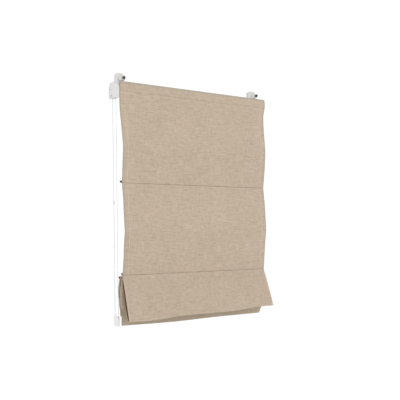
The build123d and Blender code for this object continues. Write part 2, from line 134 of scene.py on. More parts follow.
def spline_path(name, points, resolution):
    """Points read from a smooth order-3 curve through control points in metres."""
    cu = bpy.data.curves.new(name, "CURVE")
    cu.dimensions = "3D"
    sp = cu.splines.new("NURBS")
    sp.points.add(len(points) - 1)
    for q, p in zip(sp.points, points):
        q.co = (p[0], p[1], p[2], 1.0)
    sp.order_u = 3
    sp.use_endpoint_u = True
    cu.resolution_u = resolution
    ob = bpy.data.objects.new(name, cu)
    scene.collection.objects.link(ob)
    bpy.context.view_layer.update()
    me = bpy.data.meshes.new_from_object(ob)
    pts = [v.co.copy() for v in me.vertices]
    bpy.data.objects.remove(ob)
    bpy.data.meshes.remove(me)
    return pts


# ---------------------------------------------------------------- materials
def clear_material(name):
    m = bpy.data.materials.new(name)
    m.use_nodes = True
    nt = m.node_tree
    for n in list(nt.nodes):
        nt.nodes.remove(n)
    out = nt.nodes.new("ShaderNodeOutputMaterial")
    bs = nt.nodes.new("ShaderNodeBsdfPrincipled")
    nt.links.new(bs.outputs["BSDF"], out.inputs["Surface"])
    return m, nt, bs


def node(nt, kind, **props):
    n = nt.nodes.new(kind)
    for k, v in props.items():
        setattr(n, k, v)
    return n


def math_node(nt, op, a, b=None, clamp=False):
    n = node(nt, "ShaderNodeMath", operation=op, use_clamp=clamp)
    for i, v in enumerate((a, b)):
        if v is None:
            continue
        if isinstance(v, (int, float)):
            n.inputs[i].default_value = v
        else:
            nt.links.new(v, n.inputs[i])
    return n.outputs[0]


def noise_node(nt, vector, scale, detail=2.0, rough=0.5):
    n = node(nt, "ShaderNodeTexNoise")
    n.inputs["Scale"].default_value = scale
    n.inputs["Detail"].default_value = detail
    n.inputs["Roughness"].default_value = rough
    nt.links.new(vector, n.inputs["Vector"])
    return n.outputs["Fac"]


def mapped(nt, vector, scale, location=(0, 0, 0)):
    n = node(nt, "ShaderNodeMapping")
    n.inputs["Scale"].default_value = scale
    n.inputs["Location"].default_value = location
    nt.links.new(vector, n.inputs["Vector"])
    return n.outputs["Vector"]


def ramp(nt, fac, stops):
    n = node(nt, "ShaderNodeValToRGB")
    els = n.color_ramp.elements
    while len(els) > 2:
        els.remove(els[-1])
    for i, (pos, col) in enumerate(stops):
        e = els[i] if i < 2 else els.new(pos)
        e.position = pos
        e.color = (*col, 1.0)
    nt.links.new(fac, n.inputs["Fac"])
    return n.outputs["Color"]


def mix_rgb(nt, fac, a, b, mode="MIX"):
    n = node(nt, "ShaderNodeMix", data_type="RGBA", blend_type=mode)
    for key, v in (("Factor", fac), ("A", a), ("B", b)):
        sock = [s for s in n.inputs if s.name == key and s.enabled and s.type in (("VALUE",) if key == "Factor" else ("RGBA",))][0]
        if isinstance(v, (int, float)):
            sock.default_value = v
        elif isinstance(v, tuple):
            sock.default_value = (*v, 1.0)
        else:
            nt.links.new(v, sock)
    return [s for s in n.outputs if s.type == "RGBA"][0]


def bump(nt, bs, height, distance, strength=1.0):
    n = node(nt, "ShaderNodeBump")
    n.inputs["Distance"].default_value = distance
    n.inputs["Strength"].default_value = strength
    nt.links.new(height, n.inputs["Height"])
    nt.links.new(n.outputs["Normal"], bs.inputs["Normal"])


def cloth_material(name, at, tint=1.0):
    """Plain weave melange cloth: thick and thin threads along and across, fine fuzz.

    at: places along the cloth's length, in metres, of the heading, folds and hem."""
    m, nt, bs = clear_material(name)
    uv = node(nt, "ShaderNodeUVMap", uv_map="UVMap").outputs["UV"]
    sep = node(nt, "ShaderNodeSeparateXYZ")
    nt.links.new(uv, sep.inputs["Vector"])
    u, v = sep.outputs["X"], sep.outputs["Y"]
    pitch = 0.00085
    k = 2 * math.pi / pitch
    # threads wander a little
    wob = noise_node(nt, uv, 90.0, 2.0)
    wob = math_node(nt, "MULTIPLY", math_node(nt, "SUBTRACT", wob, 0.5), 0.0016)
    uu = math_node(nt, "ADD", u, wob)
    vv = math_node(nt, "ADD", v, wob)
    su = math_node(nt, "SINE", math_node(nt, "MULTIPLY", uu, k))
    sv = math_node(nt, "SINE", math_node(nt, "MULTIPLY", vv, k))
    weave = math_node(nt, "MULTIPLY", su, sv)                       # -1 .. 1, over and under
    weave01 = math_node(nt, "ADD", math_node(nt, "MULTIPLY", weave, 0.5), 0.5)
    # slubs: long thin streaks across (weft) and weaker ones down (warp)
    weft = noise_node(nt, mapped(nt, uv, (38.0, 900.0, 1.0)), 1.0, 3.0, 0.6)
    weft2 = noise_node(nt, mapped(nt, uv, (14.0, 330.0, 1.0), (3.1, 0.7, 0.0)), 1.0, 3.0, 0.62)
    warp = noise_node(nt, mapped(nt, uv, (820.0, 30.0, 1.0), (0.4, 5.2, 0.0)), 1.0, 2.0, 0.6)
    fuzz = noise_node(nt, uv, 2600.0, 2.0, 0.6)
    cloud = noise_node(nt, uv, 9.0, 3.0, 0.55)
    blotch = noise_node(nt, mapped(nt, uv, (70.0, 105.0, 1.0), (1.7, 2.9, 0.0)), 1.0, 3.0, 0.6)
    base = tuple(c * tint for c in (0.500, 0.402, 0.303))
    dark = tuple(c * tint for c in (0.285, 0.214, 0.148))
    pale = tuple(c * tint for c in (0.730, 0.628, 0.510))
    c1 = ramp(nt, weft, [(0.30, dark), (0.50, base), (0.72, pale)])
    c2 = ramp(nt, weft2, [(0.32, tuple(c * 0.80 for c in base)), (0.52, base), (0.74, tuple(min(1, c * 1.24) for c in base))])
    c3 = ramp(nt, warp, [(0.30, dark), (0.50, base), (0.74, pale)])
    col = mix_rgb(nt, 0.42, c1, c3)
    col = mix_rgb(nt, 0.40, col, c2)
    shade = math_node(nt, "ADD", math_node(nt, "MULTIPLY", weave01, 0.16), 0.90)
    shade = math_node(nt, "MULTIPLY", shade, math_node(nt, "ADD", math_node(nt, "MULTIPLY", cloud, 0.14), 0.935))
    shade = math_node(nt, "MULTIPLY", shade, math_node(nt, "ADD", math_node(nt, "MULTIPLY", blotch, 0.30), 0.85))
    grey = node(nt, "ShaderNodeCombineColor")
    for s in ("Red", "Green", "Blue"):
        nt.links.new(shade, grey.inputs[s])
    col = mix_rgb(nt, 1.0, col, grey.outputs[0], "MULTIPLY")
    # side edges of the hanging cloth, where the side hems are folded double: painted shade makes them darker and
    # greyer, a painted highlight runs along the flap's side edges, the flap's front is a little darker, and a lighter
    # line marks the hems' inner edge
    back = math_node(nt, "GREATER_THAN", u, 0.65)
    front = math_node(nt, "SUBTRACT", 1.0, back)
    xe = math_node(nt, "MODULO", u, 0.7)
    edge = math_node(nt, "MINIMUM", xe, math_node(nt, "SUBTRACT", 0.6, xe))

    def span(value, low, high, soft):
        """1 between low and high, 0 outside, with soft ends."""
        up = math_node(nt, "DIVIDE", math_node(nt, "SUBTRACT", value, low - soft / 2), soft, True)
        down = math_node(nt, "DIVIDE", math_node(nt, "SUBTRACT", high + soft / 2, value), soft, True)
        return math_node(nt, "MULTIPLY", up, down)

    def tone(colour, fac, amount, toward):
        return mix_rgb(nt, math_node(nt, "MULTIPLY", fac, amount), colour, toward)

    hanging = math_node(nt, "LESS_THAN", v, at["flap_top"])
    # painted shade: the side edges of the upper cloth darker and greyer
    rim = math_node(nt, "SUBTRACT", 1.0, math_node(nt, "DIVIDE", edge, 0.0085), True)
    col = tone(col, math_node(nt, "MULTIPLY", rim, hanging), 0.62, (0.330, 0.290, 0.240))
    flap = span(v, at["flap_top"] + 0.004, at["flap_bottom"] - 0.003, 0.002)
    # painted highlight along the front flap's side edges
    lit_rim = math_node(nt, "SUBTRACT", 1.0, math_node(nt, "DIVIDE", edge, 0.006), True)
    col = tone(col, math_node(nt, "MULTIPLY", lit_rim, math_node(nt, "MULTIPLY", flap, front)), 0.45, (0.640, 0.520, 0.400))
    col = tone(col, math_node(nt, "MULTIPLY", flap, front), 0.10, (0.300, 0.240, 0.180))
    hem = math_node(nt, "SUBTRACT", 1.0, math_node(nt, "DIVIDE", math_node(nt, "ABSOLUTE", math_node(nt, "SUBTRACT", edge, 0.0190)), 0.0022), True)
    col = tone(col, math_node(nt, "MULTIPLY", hem, hanging), 0.45, (0.640, 0.545, 0.400))
    # heading: painted shade on the grey upper edge, the seam's painted shadow and a painted highlight on the raised
    # cloth under it
    col = tone(col, span(v, at["top"] - 0.002, at["top"] + 0.0050, 0.003), 0.62, (0.345, 0.325, 0.280))
    col = tone(col, span(v, at["top"] + 0.0312, at["top"] + 0.0334, 0.0014), 0.24, (0.250, 0.190, 0.135))
    col = tone(col, span(v, at["top"] + 0.0338, at["top"] + 0.0395, 0.003), 0.07, (0.680, 0.580, 0.450))
    # the reverse: a shade darker, and painted shade in deep brown inside the folded loops, darkest near the left edge
    col = tone(col, back, 0.14, (0.250, 0.190, 0.130))
    loop_inside_shade = math_node(nt, "MULTIPLY", back, span(v, at["flap_top"] + 0.006, at["rod_3"] - 0.004, 0.006))
    shade_near_left = math_node(nt, "SUBTRACT", 1.0, math_node(nt, "DIVIDE", xe, 0.06), True)
    col = tone(col, loop_inside_shade, 0.12, (0.230, 0.150, 0.085))
    col = tone(col, math_node(nt, "MULTIPLY", loop_inside_shade, shade_near_left), 0.92, (0.105, 0.056, 0.022))
    # painted shade where the second loop's bottom curls at the side edges
    curl_shade = math_node(nt, "MULTIPLY", span(v, at["loop_2_bottom"] - 0.030, at["loop_2_bottom"] + 0.004, 0.012),
                     math_node(nt, "SUBTRACT", 1.0, math_node(nt, "DIVIDE", edge, 0.010), True))
    col = tone(col, curl_shade, 0.65, (0.150, 0.112, 0.078))
    col = tone(col, span(v, at["hem_top"] - 0.003, at["hem_bottom"] + 0.02, 0.004), 0.30, (0.395, 0.350, 0.262))
    nt.links.new(col, bs.inputs["Base Color"])
    rough = math_node(nt, "ADD", math_node(nt, "MULTIPLY", fuzz, 0.12), 0.84)
    nt.links.new(rough, bs.inputs["Roughness"])
    bs.inputs["Specular IOR Level"].default_value = 0.18
    bs.inputs["Sheen Weight"].default_value = 0.12
    bs.inputs["Sheen Roughness"].default_value = 0.5
    h = math_node(nt, "ADD", math_node(nt, "MULTIPLY", weave01, 0.55), math_node(nt, "MULTIPLY", weft, 0.9))
    h = math_node(nt, "ADD", h, math_node(nt, "MULTIPLY", warp, 0.55))
    h = math_node(nt, "ADD", h, math_node(nt, "MULTIPLY", fuzz, 0.35))
    bump(nt, bs, h, 0.00032, 0.75)
    return m


def plastic(name, colour, rough=0.42, grain=0.00004, speck=0.03):
    m, nt, bs = clear_material(name)
    obj = node(nt, "ShaderNodeTexCoord").outputs["Object"]
    big = noise_node(nt, obj, 34.0, 3.0)
    fine = noise_node(nt, obj, 1500.0, 2.0)
    lo = tuple(c * (1 - speck) for c in colour)
    hi = tuple(min(1.0, c * (1 + speck)) for c in colour)
    nt.links.new(ramp(nt, big, [(0.3, lo), (0.7, hi)]), bs.inputs["Base Color"])
    r = math_node(nt, "ADD", math_node(nt, "MULTIPLY", fine, 0.10), rough - 0.05)
    nt.links.new(r, bs.inputs["Roughness"])
    bump(nt, bs, math_node(nt, "ADD", math_node(nt, "MULTIPLY", fine, 0.7), math_node(nt, "MULTIPLY", big, 1.5)), grain, 0.6)
    return m


def metal(name, colour, rough=0.32, stretch=(6.0, 900.0, 900.0), metallic=1.0, paint=False):
    m, nt, bs = clear_material(name)
    obj = node(nt, "ShaderNodeTexCoord").outputs["Object"]
    drawn = noise_node(nt, mapped(nt, obj, stretch), 1.0, 3.0, 0.6)
    patch = noise_node(nt, obj, 22.0, 3.0)
    low, high = (0.98, 1.015) if paint else (0.90, 1.06)
    lo, hi = tuple(c * low for c in colour), tuple(min(1, c * high) for c in colour)
    nt.links.new(ramp(nt, patch if paint else drawn, [(0.3, lo), (0.7, hi)]), bs.inputs["Base Color"])
    bs.inputs["Metallic"].default_value = metallic
    r = math_node(nt, "ADD", math_node(nt, "MULTIPLY", drawn, 0.16), rough - 0.08)
    nt.links.new(r, bs.inputs["Roughness"])
    bump(nt, bs, noise_node(nt, obj, 620.0, 2.0) if paint else drawn, 0.00003, 0.5)
    return m


def braid(name, colour, turns):
    """Plaited cord: two sets of helical strands crossing, from UV (round, along)."""
    m, nt, bs = clear_material(name)
    uv = node(nt, "ShaderNodeUVMap", uv_map="UVMap").outputs["UV"]
    sep = node(nt, "ShaderNodeSeparateXYZ")
    nt.links.new(uv, sep.inputs["Vector"])
    a = math_node(nt, "MULTIPLY", sep.outputs["X"], 2 * math.pi * 3)
    b = math_node(nt, "MULTIPLY", sep.outputs["Y"], 2 * math.pi * turns)
    s1 = math_node(nt, "SINE", math_node(nt, "ADD", a, b))
    s2 = math_node(nt, "SINE", math_node(nt, "SUBTRACT", a, b))
    h = math_node(nt, "MAXIMUM", s1, s2)
    h01 = math_node(nt, "ADD", math_node(nt, "MULTIPLY", h, 0.5), 0.5)
    lo, hi = tuple(c * 0.66 for c in colour), colour
    nt.links.new(ramp(nt, h01, [(0.15, lo), (0.85, hi)]), bs.inputs["Base Color"])
    fine = noise_node(nt, uv, 300.0, 2.0)
    nt.links.new(math_node(nt, "ADD", math_node(nt, "MULTIPLY", fine, 0.15), 0.72), bs.inputs["Roughness"])
    bump(nt, bs, h01, 0.0002, 0.8)
    return m


def tape(name, colour):
    m, nt, bs = clear_material(name)
    obj = node(nt, "ShaderNodeTexCoord").outputs["Object"]
    loops = noise_node(nt, obj, 2200.0, 3.0, 0.7)
    rows = noise_node(nt, mapped(nt, obj, (1800.0, 400.0, 300.0)), 1.0, 2.0)
    nt.links.new(ramp(nt, loops, [(0.3, tuple(c * 0.72 for c in colour)), (0.7, colour)]), bs.inputs["Base Color"])
    nt.links.new(math_node(nt, "ADD", math_node(nt, "MULTIPLY", loops, 0.2), 0.75), bs.inputs["Roughness"])
    bump(nt, bs, math_node(nt, "ADD", loops, rows), 0.0004, 0.9)
    return m


WHITE = (0.600, 0.592, 0.578)
M = {
    "thread": plastic("sewing_thread", (0.40, 0.31, 0.22), 0.75, 0.00006, 0.18),
    "white": plastic("white_moulded_plastic", WHITE, 0.40),
    "weight": plastic("weight_plastic", (0.68, 0.68, 0.67), 0.33),
    "acetal": plastic("acetal", (0.58, 0.58, 0.56), 0.36),
    "bead": plastic("bead_plastic", (0.62, 0.66, 0.67), 0.24),
    "dark": plastic("dark_rod_cap", (0.042, 0.030, 0.022), 0.38, 0.00005, 0.2),
    "fibre": plastic("glass_fibre_rod", (0.66, 0.66, 0.60), 0.45, 0.00006, 0.08),
    "rubber": plastic("pad_rubber", (0.16, 0.16, 0.155), 0.68, 0.0001, 0.1),
    "ring": plastic("ring_plastic", (0.78, 0.79, 0.78), 0.22),
    "rail": metal("white_powder_coat", (0.62, 0.62, 0.605), 0.42, metallic=0.0, paint=True),
    "steel": metal("drawn_steel", (0.58, 0.58, 0.60), 0.30),
    "zinc": metal("zinc_screw", (0.62, 0.62, 0.64), 0.34, (500.0, 500.0, 500.0)),
    "black": metal("black_oxide", (0.062, 0.062, 0.063), 0.26, (500.0, 500.0, 500.0), 0.25),
    "bar": metal("mill_aluminium", (0.70, 0.70, 0.71), 0.34),
    "cord": braid("plaited_cord", (0.80, 0.78, 0.72), 420.0),
    "tape": tape("touch_tape", (0.72, 0.71, 0.67)),
}
M["ring"].node_tree.nodes["Principled BSDF"].inputs["Transmission Weight"].default_value = 0.25


def give(obj, mat):
    obj.data.materials.clear()
    obj.data.materials.append(mat)


NODE_LOOK = {
    "headrail": "rail", "headrail_end_cap": "white", "touch_fastener_strip": "tape", "drive_base": "white", "drive_cover": "white",
    "drive_screws": "zinc", "brake_spring": "steel", "chain_sprocket": "acetal", "winding_shaft": "steel",
    "cord_spool_left": "acetal", "cord_spool_right": "acetal", "spool_cradle_left": "white", "spool_cradle_right": "white",
    "bottom_bar": "bar", "chain_connector": "bead", "chain_weight_left": "weight", "chain_weight_right": "weight",
}
for n in (1, 2, 3, 4):
    NODE_LOOK["cross_rod_%d" % n] = "fibre"
    NODE_LOOK["rod_end_caps_%d" % n] = "dark"
    NODE_LOOK["cord_rings_%d" % n] = "ring"
for side in ("left", "right"):
    NODE_LOOK[side + "_clamp_body"] = "white"
    NODE_LOOK[side + "_clamp_jaw"] = "white"
    NODE_LOOK[side + "_clamp_screw"] = "black"
    NODE_LOOK[side + "_front_pad"] = "rubber"
    NODE_LOOK[side + "_jaw_pad"] = "rubber"
for name, look in NODE_LOOK.items():
    give(NODES[name], M[look])

# ------------------------------------------------------------------- cords
# the operating loop, the same route as the CAD tube, in metres
LOOP = [(-0.318, -0.0307, -0.05602), (-0.31363, -0.0307, -0.7705), (-0.3135, -0.0307, -0.7915),
        (-0.3135, -0.0083, -0.7915), (-0.31363, -0.0083, -0.7705), (-0.318, -0.0083, -0.05602)]
loop_path = spline_path("loop_route", LOOP, 48)
BEAD_R, BEAD_PITCH, LINK_R = 0.00165, 0.0043, 0.00055


def bead_string(path, pitch, offset):
    """Round beads on a thin core, as one mesh."""
    store = ([], [])
    rows, sides = 7, 10
    for p, t in walk(path, pitch, offset):
        ref = Vector((1, 0, 0)) if abs(t.x) < 0.9 else Vector((0, 1, 0))
        n = (ref - t * ref.dot(t)).normalized()
        b = t.cross(n)
        ring_pts = []
        verts = [p - t * BEAD_R]
        for i in range(1, rows):
            lat = -math.pi / 2 + math.pi * i / rows
            c, z = math.cos(lat) * BEAD_R, math.sin(lat) * BEAD_R
            for k in range(sides):
                a = 2 * math.pi * k / sides
                verts.append(p + t * z + (n * math.cos(a) + b * math.sin(a)) * c)
        verts.append(p + t * BEAD_R)
        faces = [(0, 1 + (k + 1) % sides, 1 + k) for k in range(sides)]
        for i in range(rows - 2):
            for k in range(sides):
                a = 1 + i * sides + k
                b2 = 1 + i * sides + (k + 1) % sides
                faces.append((a, b2, b2 + sides, a + sides))
        last = 1 + (rows - 2) * sides
        faces += [(last + k, last + (k + 1) % sides, len(verts) - 1) for k in range(sides)]
        add_part(store, (verts, faces))
    core = [q for q, _ in walk(path, 0.003, 0.0)] + [Vector(path[-1])]
    add_part(store, tube(core, LINK_R, 6))
    return store


verts, faces = bead_string(loop_path, BEAD_PITCH, 0.0012)
chain = new_mesh_object("bead_chain", verts, faces)
give(chain, M["bead"])
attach(chain, "root")
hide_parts("chain_loop")

# the part of the loop that lies on the sprocket
WRAP = [(-0.318, -0.0307, -0.056), (-0.318, -0.0307, -0.032), (-0.318, -0.0307, -0.0128),
        (-0.318, -0.0083, -0.0128), (-0.318, -0.0083, -0.032), (-0.318, -0.0083, -0.056)]
verts, faces = bead_string(spline_path("wrap_route", WRAP, 24), BEAD_PITCH, 0.0018)
wrap = new_mesh_object("bead_chain_on_sprocket", verts, faces)
give(wrap, M["bead"])
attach(wrap, "root")
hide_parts("chain_on_sprocket")

# lift cords, taut from spool to the stack
CORD_Y, CORD_R = -0.0247, 0.0007
for side, sx in (("left", -0.2), ("right", 0.2)):
    pts = [(sx, CORD_Y, -0.024 - 0.621 * i / 150) for i in range(151)]
    verts, faces = tube(pts, CORD_R, 10)
    uvs = [((k % 10) / 10.0, (k // 10) / 150.0) for k in range(len(verts))]
    ob = new_mesh_object("lift_cord_%s_plaited" % side, verts, faces, True, uvs)
    give(ob, M["cord"])
    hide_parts("lift_cord_" + side)
    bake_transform(ob)

    # stopper knot under the last ring
    knot = []
    for i in range(73):
        a = 2 * math.pi * i / 72
        knot.append((sx + 0.00105 * (math.sin(a) + 2 * math.sin(2 * a)) * 0.62,
                     CORD_Y + 0.00105 * (math.cos(a) - 2 * math.cos(2 * a)) * 0.62,
                     -0.6452 - 0.0011 * math.sin(3 * a)))
    verts, faces = tube(knot, 0.00068, 8, False)
    uvs = [((k % 8) / 8.0, (k // 8) * 0.0004) for k in range(len(verts))]
    kn = new_mesh_object("lift_cord_%s_knot" % side, verts, faces, True, uvs)
    give(kn, M["cord"])
    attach(kn, "stack")

    # turns of cord on the spool
    hel = []
    for i in range(0, 6 * 24 + 1):
        a = 2 * math.pi * i / 24
        hel.append((sx + 0.0012 + 0.0014 * i / 24, -0.0195 + 0.0052 * math.cos(a), -0.024 + 0.0052 * math.sin(a)))
    verts, faces = tube(hel, 0.0007, 8)
    uvs = [((k % 8) / 8.0, (k // 8) * 0.002) for k in range(len(verts))]
    wd = new_mesh_object("cord_turns_%s" % side, verts, faces, True, uvs)
    give(wd, M["cord"])
    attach(wd, "winder")
    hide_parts("cord_winding_" + side)

# ------------------------------------------------------------------- cloth
# Key points of the sheet along its length, in mm, at its left and right edge:
# (rounding, xl, yl, zl, xr, yr, zr, tag)


def K(h, left, right=None, tag=""):
    xl, yl, zl = left
    xr, yr, zr = right if right else (-xl, yl, zl)
    return (h, (xl, yl, zl), (xr, yr, zr), tag)


def tuck(y, z, x=300.0, tag=""):
    """A pleat to the back that holds a rod at (y, z)."""
    r = 3.25
    lo, hi = z - r, z + r
    return [
        K(0.8, (-x, -36.3, lo - 0.4), tag=tag), K(1.0, (-x, y - r - 0.1, lo + 0.1)),
        K(3.1, (-x, y - r, hi)), K(3.1, (-x, y + r, hi)), K(2.6, (-x, y + r, lo - 0.9)),
        K(0.8, (-x, -34.6, lo - 1.5)), K(0.8, (-x, -36.4, lo - 1.7), tag=tag + "_low"),
    ]


def crest(y, z, xl=300.0, tag=""):
    """The sheet comes up from below, passes over a rod at (y, z) and goes down again."""
    r = 3.25
    return [
        K(1.0, (-xl, y - 0.75, z - 5.6), tag=tag), K(1.3, (-xl, y - r, z - 2.9)), K(3.0, (-xl, y - r, z + r)),
        K(3.0, (-xl, y + r, z + r)), K(1.3, (-xl, y + r, z - 2.9)), K(1.0, (-xl, y + 0.75, z - 5.6)),
    ]


KEYS = [
    K(0, (-308, -35.15, -37.5), (308, -35.15, -37.5), "back_start"),
    K(0.6, (-308, -35.15, -0.6), (308, -35.15, -0.6)),
    K(0.6, (-308, -36.45, -0.6), (308, -36.45, -0.6), "top"),
    K(3, (-308.2, -36.6, -24), (309.0, -37.2, -20)),
    K(2, (-308.2, -36.7, -29), (308.6, -37.2, -29)),
    K(2, (-308.1, -36.6, -36), (308.0, -37.1, -36)),
    K(10, (-308.0, -36.4, -50), (306.0, -37.0, -42), "below_heading"),
    K(18, (-307.4, -35.6, -92), (302.5, -36.8, -62)),
    K(18, (-303.2, -36.0, -128), (301.0, -38.2, -92)),
    K(22, (-301.0, -37.6, -162), (300.2, -43.5, -138)),
    K(16, (-300, -45.0, -206), (300, -50.0, -196), "mid_1"),
    K(24, (-300, -41.6, -255), (300, -45.2, -258)),
    K(14, (-300, -36.8, -318), (300, -37.6, -316), "above_rod_1"),
    *tuck(-31.0, -327.5, tag="rod_1"),
    K(6, (-300, -37.6, -345), (300, -37.6, -345)),
    K(14, (-300, -43.4, -388), (300, -43.4, -384)),
    K(20, (-300, -47.4, -440), (300, -48.6, -436)),
    K(9, (-300, -53.2, -490), (300, -52.6, -490), "mid_2"),
    K(14, (-300, -48.0, -520), (300, -47.0, -522)),
    K(18, (-300, -43.6, -572), (300, -42.0, -572)),
    K(8, (-300, -38.2, -620), (300, -37.6, -620), "above_rod_2"),
    *tuck(-31.0, -629.0, tag="rod_2"),
    # front flap
    K(3.5, (-300, -38.6, -641.0), (300, -38.2, -639.5), "flap_top"),
    K(10, (-300, -46.5, -670.0), (300, -54.0, -674.5)),
    K(10, (-300, -55.4, -698.5), (300, -69.0, -710.7)),
    K(10, (-300, -64.0, -727.0), (300, -76.5, -730.0)),
    K(8, (-300, -71.1, -752.0), (300, -83.2, -748.5)),
    K(4.2, (-300, -79.6, -781.6), (300, -89.6, -766.6), "flap_bottom"),
    K(3.4, (-300, -69.0, -777.5), (300, -80.0, -764.5), "flap_back"),
    K(8, (-300, -55.6, -744.0), (300, -68.0, -734.0)),
    K(8, (-300, -46.8, -712.0), (300, -58.5, -704.0)),
    K(8, (-300, -39.0, -681.0), (300, -47.5, -676.0)),
    K(4, (-300, -34.4, -656.0), (300, -35.4, -656.0)),
    *crest(-31.0, -640.0, tag="rod_3"),
    # second loop, pressed against the back of the first
    K(4, (-302, -31.2, -656.0), (300, -31.2, -656.0)),
    K(8, (-308, -33.2, -682.0), (300, -42.0, -680.0)),
    K(8, (-309, -34.6, -714.0), (300, -49.5, -708.0)),
    K(8, (-308.5, -38.6, -744.0), (300, -55.0, -738.0)),
    K(3.2, (-306, -46.8, -768.0), (300, -58.0, -768.5), "loop_2_bottom"),
    K(3.2, (-306, -39.0, -767.0), (300, -50.0, -768.0)),
    K(8, (-308.5, -28.4, -738.0), (300, -45.0, -744.0)),
    K(8, (-308, -24.6, -704.0), (300, -31.0, -702.0)),
    K(6, (-303, -19.0, -664.0), (300, -19.5, -664.0)),
    *crest(-15.5, -641.0, tag="rod_4"),
    # last panel and bottom hem
    K(5, (-302, -14.2, -660.0), (300, -15.4, -660.0)),
    K(6, (-304, -10.4, -698.0), (300, -18.6, -692.0)),
    K(5, (-301.5, -17.6, -717.0), (300, -19.2, -717.0)),
    K(4, (-300.3, -19.4, -764.0), (300, -19.4, -764.0), "panel_end"),
    K(2, (-295.0, -21.7, -774.0), (301, -21.7, -774.0), "hem_top"),
    K(1.4, (-294.6, -21.8, -798.8), (286, -21.8, -798.4), "hem_bottom"),
    K(1.4, (-294.6, -17.2, -798.8), (286, -17.2, -798.4)),
    K(0, (-294.6, -17.2, -773.0), (301, -17.2, -773.0), "end"),
]


def rounded(keys, step=6.0):
    """Both edges as matching dense point lists, with the row of each tag."""
    L = [np.array(k[1], float) for k in keys]
    R = [np.array(k[2], float) for k in keys]
    n = len(keys)
    rows, tags, segs = [], {}, []
    cuts = []
    for i in range(n):
        h = keys[i][0]
        if i in (0, n - 1) or h == 0:
            cuts.append((L[i], L[i], R[i], R[i]))
            continue
        out = []
        for P in (L, R):
            a, b = P[i - 1] - P[i], P[i + 1] - P[i]
            la, lb = np.linalg.norm(a), np.linalg.norm(b)
            ha, hb = min(h, la * 0.48), min(h, lb * 0.48)
            out += [P[i] + a / la * ha, P[i] + b / lb * hb]
        cuts.append((out[0], out[1], out[2], out[3]))
    for i in range(n):
        la, lb, ra, rb = cuts[i]
        if i in (0, n - 1) or keys[i][0] == 0:
            rows.append((L[i], R[i]))
            if keys[i][3]:
                tags[keys[i][3]] = len(rows) - 1
        else:
            a, b = L[i - 1] - L[i], L[i + 1] - L[i]
            turn = math.acos(max(-1, min(1, -float(a @ b) / (np.linalg.norm(a) * np.linalg.norm(b)))))
            m = 2 if turn < 0.2 else (3 if turn < 0.7 else 5)
            first = len(rows)
            for k in range(m + 1):
                t = k / m
                q = [(1 - t) ** 2 * p + 2 * t * (1 - t) * c + t * t * e for p, c, e in ((la, L[i], lb), (ra, R[i], rb))]
                rows.append((q[0], q[1]))
            if keys[i][3]:
                tags[keys[i][3]] = first + m // 2
        if i < n - 1:
            la2 = cuts[i + 1][0]
            ra2 = cuts[i + 1][2]
            p0, r0 = rows[-1]
            d = max(np.linalg.norm(la2 - p0), np.linalg.norm(ra2 - r0))
            m = max(1, int(math.ceil(d / step)))
            for k in range(1, m):
                t = k / m
                rows.append((p0 + (la2 - p0) * t, r0 + (ra2 - r0) * t))
    # drop rows that repeat
    keep = [0]
    for i in range(1, len(rows)):
        if np.linalg.norm(rows[i][0] - rows[keep[-1]][0]) > 0.05:
            keep.append(i)
    back = {}
    for new, old in enumerate(keep):
        back[old] = new
    tags = {t: back.get(r, min(range(len(keep)), key=lambda j: abs(keep[j] - r))) for t, r in tags.items()}
    return [rows[i] for i in keep], tags


rows, TAG = rounded(KEYS)
EL = np.array([r[0] for r in rows])
ER = np.array([r[1] for r in rows])
SL = np.concatenate([[0], np.cumsum(np.linalg.norm(np.diff(EL, axis=0), axis=1))])
SR = np.concatenate([[0], np.cumsum(np.linalg.norm(np.diff(ER, axis=0), axis=1))])
SM = (SL + SR) / 2
NR = len(rows)

# columns, closer together at the hems
COLS = sorted(set([0, 2.5, 6, 11, 16, 19, 22, 26, 32, 40] + [40 + 520 * i / 60 for i in range(61)] + [600 - c for c in (0, 2.5, 6, 11, 16, 19, 22, 26, 32, 40)]))
U = np.array(COLS) / 600.0
NC = len(COLS)

# small uneven drops of the flap's lower edge and of the bottom hem
FLAP_DZ = ([0, 0.06, 0.117, 0.20, 0.32, 0.45, 0.61, 0.73, 0.83, 0.92, 1.0], [0, -2.4, -4.0, -2.8, 1.2, -0.8, -3.0, -4.2, 0.2, 1.3, 0])
HEM_DZ = ([0, 0.2, 0.32, 0.42, 0.54, 0.66, 0.8, 1.0], [0, -2.2, -3.0, -2.6, -1.2, 0, 0.3, 0.2])

P = np.zeros((NR, NC, 3))
for j, u in enumerate(U):
    P[:, j, :] = EL * (1 - u) + ER * u

i_flap, i_fback, i_r3, i_r4 = TAG["flap_top"], TAG["flap_back"], TAG["rod_3"], TAG["rod_4"]
i_panel = TAG["panel_end"]
dzf = np.interp(U, *FLAP_DZ)
dzh = np.interp(U, *HEM_DZ)


def smooth(t):
    t = np.clip(t, 0, 1)
    return t * t * (3 - 2 * t)


def nz(a, b, c=0.0):
    return noise.noise(Vector((a, b, c)))


wave = np.array([2.6 * nz(u * 3.1, 0.3, 7.0) + 1.1 * nz(u * 8.3, 2.0, 1.0) for u in U]) * smooth(U / 0.08) * smooth((1 - U) / 0.08)
wave2 = np.array([2.2 * nz(u * 2.7, 5.3, 3.0) for u in U])
for i in range(NR):
    z = P[i, :, 2]
    if i_flap <= i < i_r3:
        f = np.clip((-z - 645) / 130, 0, 1)
        P[i, :, 2] += dzf * f ** 2
        P[i, :, 1] += wave * f
    elif i_r3 <= i < i_r4:
        f = np.clip((-z - 650) / 125, 0, 1)
        P[i, :, 1] += wave * f
        P[i, :, 2] += 0.6 * dzf * f ** 2
    elif i >= i_r4 + 6:
        f = smooth((-z - 660) / 120)
        P[i, :, 2] += dzh * f

# normals of the middle surface
def normals(P):
    du = np.gradient(P, axis=1)
    ds = np.gradient(P, axis=0)
    n = np.cross(ds, du)
    n /= np.linalg.norm(n, axis=2, keepdims=True) + 1e-12
    return n


N0 = normals(P)
